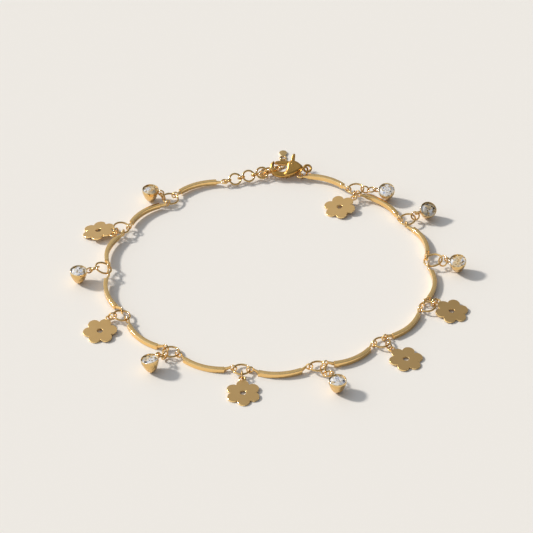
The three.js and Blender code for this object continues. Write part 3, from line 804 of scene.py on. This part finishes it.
def brilliant():
    girdle, table, top = GEM["girdle"], GEM["table"], -GEM["sunk"]
    under = top - GEM["crown"] - GEM["edge"]

    def ring(radius, height, turn=0, count=8):
        return [(x, y, height) for x, y in circle(radius, count, turn=turn * math.pi / 8)]

    rows = {
        "heart": ring(table * HEART, top),
        "middle": ring(table * MIDDLE, top, 1),
        "table": ring(table, top),
        "crown": ring((girdle + table) / 2, top - GEM["crown"] / 2, 1),
        "girdle": ring(girdle, top - GEM["crown"], 0, 16),
        "under": ring(girdle, under, 0, 16),
        "low": ring(girdle * LOW, under - GEM["pavilion"] * (1 - LOW), 1),
    }
    points, start = [(0, 0, top), (0, 0, top - GEM["crown"] - GEM["pavilion"])], {}
    for name, row in rows.items():
        start[name] = len(points)
        points += row

    def at(name, k):
        return start[name] + k % len(rows[name])

    faces = []
    for k in range(8):
        h, m, t, c = (at(name, k) for name in ("heart", "middle", "table", "crown"))
        h2, t2, m0, c0 = at("heart", k + 1), at("table", k + 1), at("middle", k - 1), at("crown", k - 1)
        g, g1, g2 = (at("girdle", 2 * k + i) for i in range(3))
        u, u1, u2 = (at("under", 2 * k + i) for i in range(3))
        low, low0 = at("low", k), at("low", k - 1)
        faces += [(0, h, h2), (h, m, h2), (h, m0, t, m), (m, t, t2)]
        faces += [(t, c, t2), (t, c0, g, c), (c, g, g1), (c, g1, g2)]
        faces += [(g, u, u1, g1), (g1, u1, u2, g2)]
        faces += [(u, low, u1), (u1, low, u2), (u, low0, 1, low)]
    mesh = bpy.data.meshes.new("brilliant")
    mesh.from_pydata([Vector(p) * MM for p in points], [], faces)
    face_outwards(mesh)
    # A random painted sparkle for each facet, which the stone's finish turns into a painted reflection
    # colour.
    painted_sparkle = np.random.default_rng(PAINTED_SPARKLE_SEED).random(len(mesh.polygons)).astype(np.float32)
    mesh.attributes.new("painted_sparkle", "FLOAT", "FACE").data.foreach_set("value", painted_sparkle)
    return mesh


# %% [markdown]
# ## Seating a stone
# The table is the solid's largest level face, summed over the triangles that share its direction
# and its height. Its middle and its normal give the seat, and the eyelet's side gives the turn.

# %% Stone seats
TABLE_SUNK = 0.12  # of the solid's flat top under its rim
SAME_WAY, SAME_HEIGHT_MM = 0.9995, 0.02


def stone_seat(node):
    mesh = frame["nodes"][node].data
    normals = np.array([face.normal for face in mesh.polygons])
    areas = np.array([face.area for face in mesh.polygons])
    same_way = normals @ normals.T > SAME_WAY
    axis = Vector(normals[(same_way * areas).sum(1).argmax()])
    heights = np.array([face.center.dot(axis) for face in mesh.polygons])
    upwards = normals @ np.array(axis) > SAME_WAY
    level = np.abs(heights[:, None] - heights[None]) < SAME_HEIGHT_MM * MM
    table = upwards & level[((level & upwards) * areas).sum(1).argmax()]
    corners = {i for face, on in zip(mesh.polygons, table) if on for i in face.vertices}
    flat = np.unique(np.array([mesh.vertices[i].co for i in corners]).round(7), axis=0)
    away = Vector(flat.mean(0)) - Vector(cad_points(node).mean(0))
    away -= axis * away.dot(axis)
    return seat(Vector(flat.mean(0)) + axis * TABLE_SUNK * MM, away, axis.cross(away))


setting, gem = setting_mesh(), brilliant()
for node in names("stone_charm"):
    place = stone_seat(node)
    show(node + "_setting", setting, TURNED, place, "polished_gold", node)
    show(node + "_zirconia", gem, STONE, place, "set_stone")
print("stones", len(names("stone_charm")), "facets each", len(gem.polygons))

# %% [markdown]
# ## Casting
# The clasp is cast: a hook whose claw curls round to meet a sprung lever, a thick shoulder that
# holds the lever's pin, and an eye. Plates of the right outline are melted together by a voxel
# remesh, the lever's slot is cut, and a second remesh with a little smoothing rounds the edges as
# casting and tumbling do.


# %% Curved outlines and melted shells
def flowing(points, count):
    """A curve through the points, in the way of Catmull and Rom."""
    p = np.array([points[0], *points, points[-1]], float)
    out = []
    for s in np.linspace(0, len(points) - 1, count + 1):
        i = min(int(s), len(points) - 2)
        t = s - i
        a, b, c, d = p[i : i + 4]
        square = 2 * a - 5 * b + 4 * c - d
        cube = 3 * b - a - 3 * c + d
        out.append(tuple(0.5 * (2 * b + (c - a) * t + square * t**2 + cube * t**3)))
    return out


def melted(name, mesh, voxel_mm, cutters, rounds):
    """Fuses overlapping shells, cuts, fuses again and rounds what is sharp."""
    host = add_object(name, mesh)

    def fuse(title):
        remesh = host.modifiers.new(title, "REMESH")
        remesh.mode, remesh.voxel_size = "VOXEL", voxel_mm * MM

    fuse("fuse")
    tools = [add_object("cutter", cutter) for cutter in cutters]
    for tool in tools:
        cut = host.modifiers.new("cut", "BOOLEAN")
        cut.operation, cut.solver, cut.object = "DIFFERENCE", "EXACT", tool
    fuse("fuse again")
    soften = host.modifiers.new("round", "SMOOTH")
    soften.factor, soften.iterations = 0.5, rounds
    result = finished(host)
    for tool in tools:
        bpy.data.objects.remove(tool)
    result.attributes.new("edge", "FLOAT", "POINT")
    result.shade_smooth()
    return result


def box_mesh(size, centre):
    shell = bmesh.new()
    bmesh.ops.create_cube(shell, size=1)
    bmesh.ops.scale(shell, vec=Vector(size) * MM, verts=shell.verts)
    bmesh.ops.translate(shell, vec=Vector(centre) * MM, verts=shell.verts)
    mesh = bpy.data.meshes.new("box")
    shell.to_mesh(mesh)
    shell.free()
    return mesh


# %% [markdown]
# ## The lobster clasp's body
# It is drawn in its own plane: the claw's tip at -x, the eye at +x, the lever's side at +y. The
# well and the mouth make the slot that the lever swings in, and the pin runs across it. The hinge
# of the frame gives the clasp's seat.

# %% Clasp body
PIVOT = (1.0, 0.75)
CLASP = {"plate": 1.3, "bulge": 2.4, "slot": 1.4, "well": 1.2, "pin": 0.28, "pin_proud": 0.03}
CLASP_EYE = {"at": 4.6, "radius": 0.88, "wire": 0.3}
NECK = {"size": (0.9, 0.75, 0.5), "centre": (3.45, 0, 0)}
MOUTH = {"size": (3.9, 2.6, CLASP["slot"]), "centre": (0.05, 1.75, 0)}
CLAW_OUTSIDE = [
    (0.4, -2.3), (-1.8, -2.4), (-3.5, -1.95), (-4.45, -0.7), (-4.5, 0.7), (-4.05, 1.55), (-3.55, 1.95),
]
CLAW_INSIDE = [
    (-3.4, 1.6), (-3.5, 0.8), (-3.4, 0), (-2.65, -0.7), (-1.5, -0.95), (-0.6, -0.8), (0, -0.4),
]
BULGE = [
    (3.4, -0.45), (2.5, -1.1), (1.0, -1.9), (-0.5, -2.3), (-1.0, -1.6), (-0.6, -0.7),
    (-0.4, 0.3), (-0.1, 1.3), (0.8, 1.95), (2.2, 1.45), (3.4, 0.45),
]
claw_outline = flowing(CLAW_OUTSIDE, 30) + flowing(CLAW_INSIDE, 30)
eye_at = Matrix.Translation(Vector((CLASP_EYE["at"], 0, 0)) * MM)
clasp_shell = join(
    "clasp",
    bevelled_plate("claw", [claw_outline], CLASP["plate"], bevel=0.45, steps=6),
    bevelled_plate("bulge", [flowing(BULGE, 60)], CLASP["bulge"], bevel=0.6, steps=6),
    box_mesh(**NECK),
    seated(wire_ring(CLASP_EYE["radius"], CLASP_EYE["wire"]), eye_at),
)
well_outline = circle(CLASP["well"], 32, *PIVOT)
well = bevelled_plate("well", [well_outline], CLASP["slot"], bevel=0.02, steps=1)
mouth = box_mesh(**MOUTH)
casting = melted("clasp body", clasp_shell, voxel_mm=0.06, cutters=(well, mouth), rounds=8)
pin_length = CLASP["bulge"] + 2 * CLASP["pin_proud"]
pin = bevelled_plate("pin", [circle(CLASP["pin"], 24, *PIVOT)], pin_length, bevel=0.08)
clasp_body = join("clasp body with pin", casting, smooth(pin))

hinge = frame["joints"][0]
x_axis = Vector((1, 0, 0))
y_axis = Vector(hinge["axis"]).normalized().cross(x_axis)
clasp_origin = Vector(hinge["pos_m"]) - (x_axis * PIVOT[0] + y_axis * PIVOT[1]) * MM
clasp_seat = seat(clasp_origin, x_axis, y_axis)
show("clasp_cast_body", clasp_body, CAST_WITH_PAINTED_SHADE, clasp_seat, "clasp_gold", "clasp_body")
print("clasp body faces", len(clasp_body.polygons))

# %% [markdown]
# ## The lever
# The lever is a second casting, thinner than the slot: a gate that closes the claw, a hub round
# the pin and a tab for the fingernail. Its outlines start from the pivot, so it rides its hinge.

# %% Clasp lever
LEVER = {"thick": 0.8, "hub": 0.85, "hole": 0.5}
GATE = [
    (0.2, 0.85), (-1.4, 1.15), (-2.8, 1.22), (-4.1, 1.05), (-4.33, 0.45), (-2.9, 0.27),
    (-1.6, 0.2), (-0.6, -0.2),
]
TAB = [
    (-0.5, 0.5), (-0.36, 1.6), (-0.08, 2.65), (0.3, 3.12), (0.68, 2.85), (0.58, 1.7), (0.5, 0.5),
]
lever_shell = join(
    "lever",
    bevelled_plate("gate", [flowing(GATE, 40)], LEVER["thick"], bevel=0.18),
    bevelled_plate("hub", [circle(LEVER["hub"], 36)], LEVER["thick"], bevel=0.1),
    bevelled_plate("tab", [flowing(TAB, 30)], LEVER["thick"], bevel=0.2),
)
bore_outline = circle(LEVER["hole"], 28)
lever_bore = bevelled_plate("bore", [bore_outline], 2 * LEVER["thick"], bevel=0.02, steps=1)
lever = melted("lever", lever_shell, voxel_mm=0.055, cutters=(lever_bore,), rounds=3)
lever_seat = clasp_seat @ Matrix.Translation(Vector((*PIVOT, 0)) * MM)
show("clasp_cast_lever", lever, CAST_WITH_PAINTED_SHADE, lever_seat, "clasp_gold", "clasp_lever", body="lever")
print("lever faces", len(lever.polygons))

# %% [markdown]
# ## The clasp's ring and the extender
# The extender is a run of small and large rings turned across each other, each small one soldered
# to the next large one, as far as the ring that the claw catches.

# %% The clasp's rings and the extender
CLASP_WIRE = 0.22
show_ring("catch_ring", CLASP_WIRE, BRIGHT, "polished_gold")
show_ring("clasp_ring", CLASP_WIRE, CAST_WITH_PAINTED_SHADE, "clasp_gold")

SMALL_LINK, LARGE_LINK = (0.8, 0.2), (1.37, 0.24)  # radius and wire
LARGE_RING = (56, 18)
EXTENDER_TILT = math.radians(35)


def extender_axes(points):
    """The way along the extender, and the two directions its rings lie in, at right angles."""
    way = facing(spread_axes(points)[0], (1, 0, 0))
    across = UP.cross(way).normalized()
    up = way.cross(across)
    flatter = across * math.cos(EXTENDER_TILT) + up * math.sin(EXTENDER_TILT)
    steeper = up * math.cos(EXTENDER_TILT) - across * math.sin(EXTENDER_TILT)
    return way, flatter, steeper


for node in names("extender_link"):
    points = cad_points(node)
    way, flatter, steeper = extender_axes(points)
    middle = Vector(points.mean(0))
    low, high = (d - middle.dot(way) for d in reach(points, way))
    small_at = seat(middle + way * (low + sum(SMALL_LINK) * MM), way, steeper)
    large_at = seat(middle + way * (high - sum(LARGE_LINK) * MM), way, flatter)
    small = seated(wire_ring(*SMALL_LINK, *SMALL_RING), small_at)
    large = seated(wire_ring(*LARGE_LINK, *LARGE_RING), large_at)
    show_pair(node, small, large)
print("extender links", len(names("extender_link")))

# %% [markdown]
# ## The extender's tail
# Past the ring that the claw holds, a fine chain of soldered rings runs on behind the clasp to a
# plain tag. The rings repeat along a curve, so a geometry tree makes them: it turns a ring to the
# path's tangent at each of its points.


# %% The chain tree
CHAIN_RING = (36, 14)


def chain_tree():
    tree, given = new_tree("fine chain", Radius="Float", Wire="Float", Finish="Material")
    path = {"Mesh": given["Geometry"]}
    route = add_node(tree, "GeometryNodeMeshToCurve", path).outputs[0]
    tangent = {"Vector": add_node(tree, "GeometryNodeInputTangent").outputs[0]}
    turn = add_node(tree, "FunctionNodeAlignRotationToVector", tangent, axis="X").outputs[0]
    link = bent_wire(tree, given["Radius"], given["Wire"], *CHAIN_RING)
    repeated = {"Points": route, "Instance": link, "Rotation": turn}
    links = add_node(tree, "GeometryNodeInstanceOnPoints", repeated).outputs[0]
    return end_tree(tree, links, given["Finish"])


# %% [markdown]
# ## The tail's route
# The route is the solid's own, in millimetres: it starts at the bail on the caught ring and comes
# down to the surface in one fair curve through a few stops. Where it slopes, a ring's edge would
# dip below its middle, so the middle is raised by as much.

# %% The tail's route
CATCH_RADIUS = 1.66
TAIL_LINK, BAIL = (0.74, 0.18), (0.66, 0.18)  # radius and wire
TAIL_HOOK, TAIL_TURN = math.radians(50), math.radians(165)
TAIL_WAY = [(-1.0, 37.6), (1.0, 39.0), (3.2, 39.6), (4.1, 41.2), (4.1, 43.6)]
LOOP_TO_CLASP = Vector((5.35, 36.4, 2.25))  # from the loop's middle to the clasp's
ON_SURFACE = 0.02


def fair_curve(points, steps=40):
    """A centripetal curve through the points, which keeps its corners tight."""
    p = [2 * points[0] - points[1], *points, 2 * points[-1] - points[-2]]
    out = []
    for a, b, c, d in zip(p, p[1:], p[2:], p[3:]):
        before, here, after = ((v - u).length ** 0.5 for u, v in ((a, b), (b, c), (c, d)))
        leave = ((b - a) / before - (c - a) / (before + here) + (c - b) / here) * here
        arrive = ((c - b) / here - (d - b) / (here + after) + (d - c) / after) * here
        square = 3 * (c - b) - 2 * leave - arrive
        cube = 2 * (b - c) + leave + arrive
        out += [b + leave * t + square * t**2 + cube * t**3 for t in np.arange(steps) / steps]
    return np.array([*out, points[-1]], float)


way, flatter, steeper = extender_axes(cad_points(names("extender_link")[-1]))
loop_middle = clasp_origin / MM - LOOP_TO_CLASP
caught = Vector(cad_points("catch_ring").mean(0)) / MM
inwards = steeper * math.cos(TAIL_HOOK) + way * math.sin(TAIL_HOOK)
hooked = caught - inwards * CATCH_RADIUS
downwards = (inwards * -inwards.z + flatter * -flatter.z).normalized()
first_turn = Vector((math.cos(TAIL_TURN), math.sin(TAIL_TURN), 0))
tail_start = hooked + downwards * BAIL[0] + first_turn * (TAIL_LINK[0] - WELD)
flat_height = TAIL_LINK[1] + ON_SURFACE
stops = [Vector((x + loop_middle.x, y + loop_middle.y, flat_height)) for x, y in TAIL_WAY]
route = fair_curve([tail_start, *stops])
walked = np.concatenate([[0], np.linalg.norm(np.diff(route, axis=0), axis=1).cumsum()])
link_count = round(walked[-1] / (2 * (TAIL_LINK[0] - TAIL_LINK[1]) + WELD)) + 1
marks = np.linspace(0, walked[-1], link_count)
centres = np.stack([np.interp(marks, walked, route[:, k]) for k in range(3)], 1)
slopes = np.gradient(centres[:, 2], marks)
centres[:, 2] = np.maximum(centres[:, 2], flat_height + TAIL_LINK[0] * np.abs(slopes))
print("tail", round(walked[-1], 1), "mm long,", link_count, "links")

# %% [markdown]
# ## The tail and its tag
# The tag is a small plate, round at its free end and narrow where it is soldered to the last
# ring. The bail is the one ring that stands square to the chain, round the caught ring's wire.

# %% The tail and its tag
TAG = {"width": 2.0, "length": 2.4, "thick": 0.4, "edge": 0.1}
BAIL_RING = (40, 14)
sizes = {"Radius": TAIL_LINK[0] * MM, "Wire": TAIL_LINK[1] * MM}
path = [(i, i + 1) for i in range(link_count - 1)]
chain = made_by(chain_tree(), centres * MM, path, **sizes, Finish=BRIGHT)
chain.shade_smooth()
bail = seated(wire_ring(*BAIL, *BAIL_RING), seat(hooked * MM, downwards, flatter))
half = TAG["width"] / 2
round_end = [(half * math.cos(a), half * math.sin(a)) for a in np.linspace(0, math.pi, 24)]
tag_outline = [(x, TAG["length"] - half + y) for x, y in round_end]
tag_outline += [(-half / 2, 0), (half / 2, 0)]
tag = smooth(bevelled_plate("tag", [tag_outline], TAG["thick"], TAG["edge"]))
tag_at = Vector(centres[-1]) + Vector((0, TAIL_LINK[0] - WELD, 0))
tag_at.z = TAG["thick"] / 2 + ON_SURFACE
tail = join("tail", chain, bail, seated(tag, Matrix.Translation(tag_at * MM)))
show("extender_tail_chain", tail, BRIGHT, Matrix(), "polished_gold", "extender_tail")

# %% [markdown]
# ## Floor and light
# A plain pale floor, and one soft, faintly warm light from the left and a little behind. The
# metal is mostly what it reflects: its upright faces see the lit floor and shine, and its flat
# tops see the dimmer part of the surround and go olive.

# %% Floor and light
FLOOR_REACH = 3  # metres, so its edge stays out of view
floor_corners = [(x * FLOOR_REACH, y * FLOOR_REACH, 0) for x, y in ((-1, -1), (1, -1), (1, 1), (-1, 1))]
floor_mesh = new_mesh("floor", floor_corners, [(0, 1, 2, 3)])
floor = add_object("floor", floor_mesh)
floor_paint = bpy.data.materials.new("matt pale board")
floor_paint.use_nodes = True
floor_shader = floor_paint.node_tree.nodes["Principled BSDF"]
matt = {"Base Color": linear("#ECEAE6"), "Roughness": 0.9, "Specular IOR Level": 0.1}
for socket, value in matt.items():
    floor_shader.inputs[socket].default_value = value
floor_mesh.materials.append(floor_paint)
floor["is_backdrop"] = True

KEY_FROM = Vector((-0.8, 0.25, 0.62))
key = add_object("key light", bpy.data.lights.new("key light", "SUN"))
key.data.angle = math.radians(7)
key.data.energy = 3.0
key.data.color = linear("#FFF8EE")[:3]
key.location = KEY_FROM
key.rotation_euler = KEY_FROM.to_track_quat("Z", "Y").to_euler()
print("light from", [round(c, 2) for c in KEY_FROM])

# %% [markdown]
# ## The surround
# A mirror shows its surroundings, so an even grey would make the gold look like paint. The
# surround is bright towards the window side and falls off to a dim room on the other.

# %% Surround
WINDOW_SIDE = Vector((-0.9, 0.28, 0.34)).normalized()
WINDOW_FALLOFF, WINDOW_LIGHT, ROOM_LIGHT = 3.0, 1.15, 0.14
world = bpy.data.worlds.new("surround")
bpy.context.scene.world = world
world.use_nodes = True
sky = world.node_tree
sky.nodes.clear()
outward = add_node(sky, "ShaderNodeTexCoord").outputs["Generated"]
sides = {0: outward, 1: WINDOW_SIDE}
faced = add_node(sky, "ShaderNodeVectorMath", sides, operation="DOT_PRODUCT").outputs["Value"]
turned = add_node(sky, "ShaderNodeMapRange", {0: faced, 1: -1.0, 2: 1.0, 3: 0.0, 4: 1.0}).outputs[0]
power = {0: turned, 1: WINDOW_FALLOFF}
falling = add_node(sky, "ShaderNodeMath", power, operation="POWER").outputs[0]
levels = {0: falling, 1: WINDOW_LIGHT, 2: ROOM_LIGHT}
strength = add_node(sky, "ShaderNodeMath", levels, operation="MULTIPLY_ADD").outputs[0]
glow = {"Color": linear("#EEF1F6"), "Strength": strength}
background = add_node(sky, "ShaderNodeBackground", glow)
add_node(sky, "ShaderNodeOutputWorld", {"Surface": background.outputs[0]})
bpy.context.scene.view_settings.view_transform = "Standard"
print("surround", ROOM_LIGHT, "to", ROOM_LIGHT + WINDOW_LIGHT)

# %% Sizes of the solids and of the dressed pieces
visual_box = [list(map(float, corner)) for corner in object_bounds()]
for label, box in (("cad", cad_box), ("visual", visual_box)):
    print(label, "box in mm", (np.array(box) / MM).round(2).tolist())
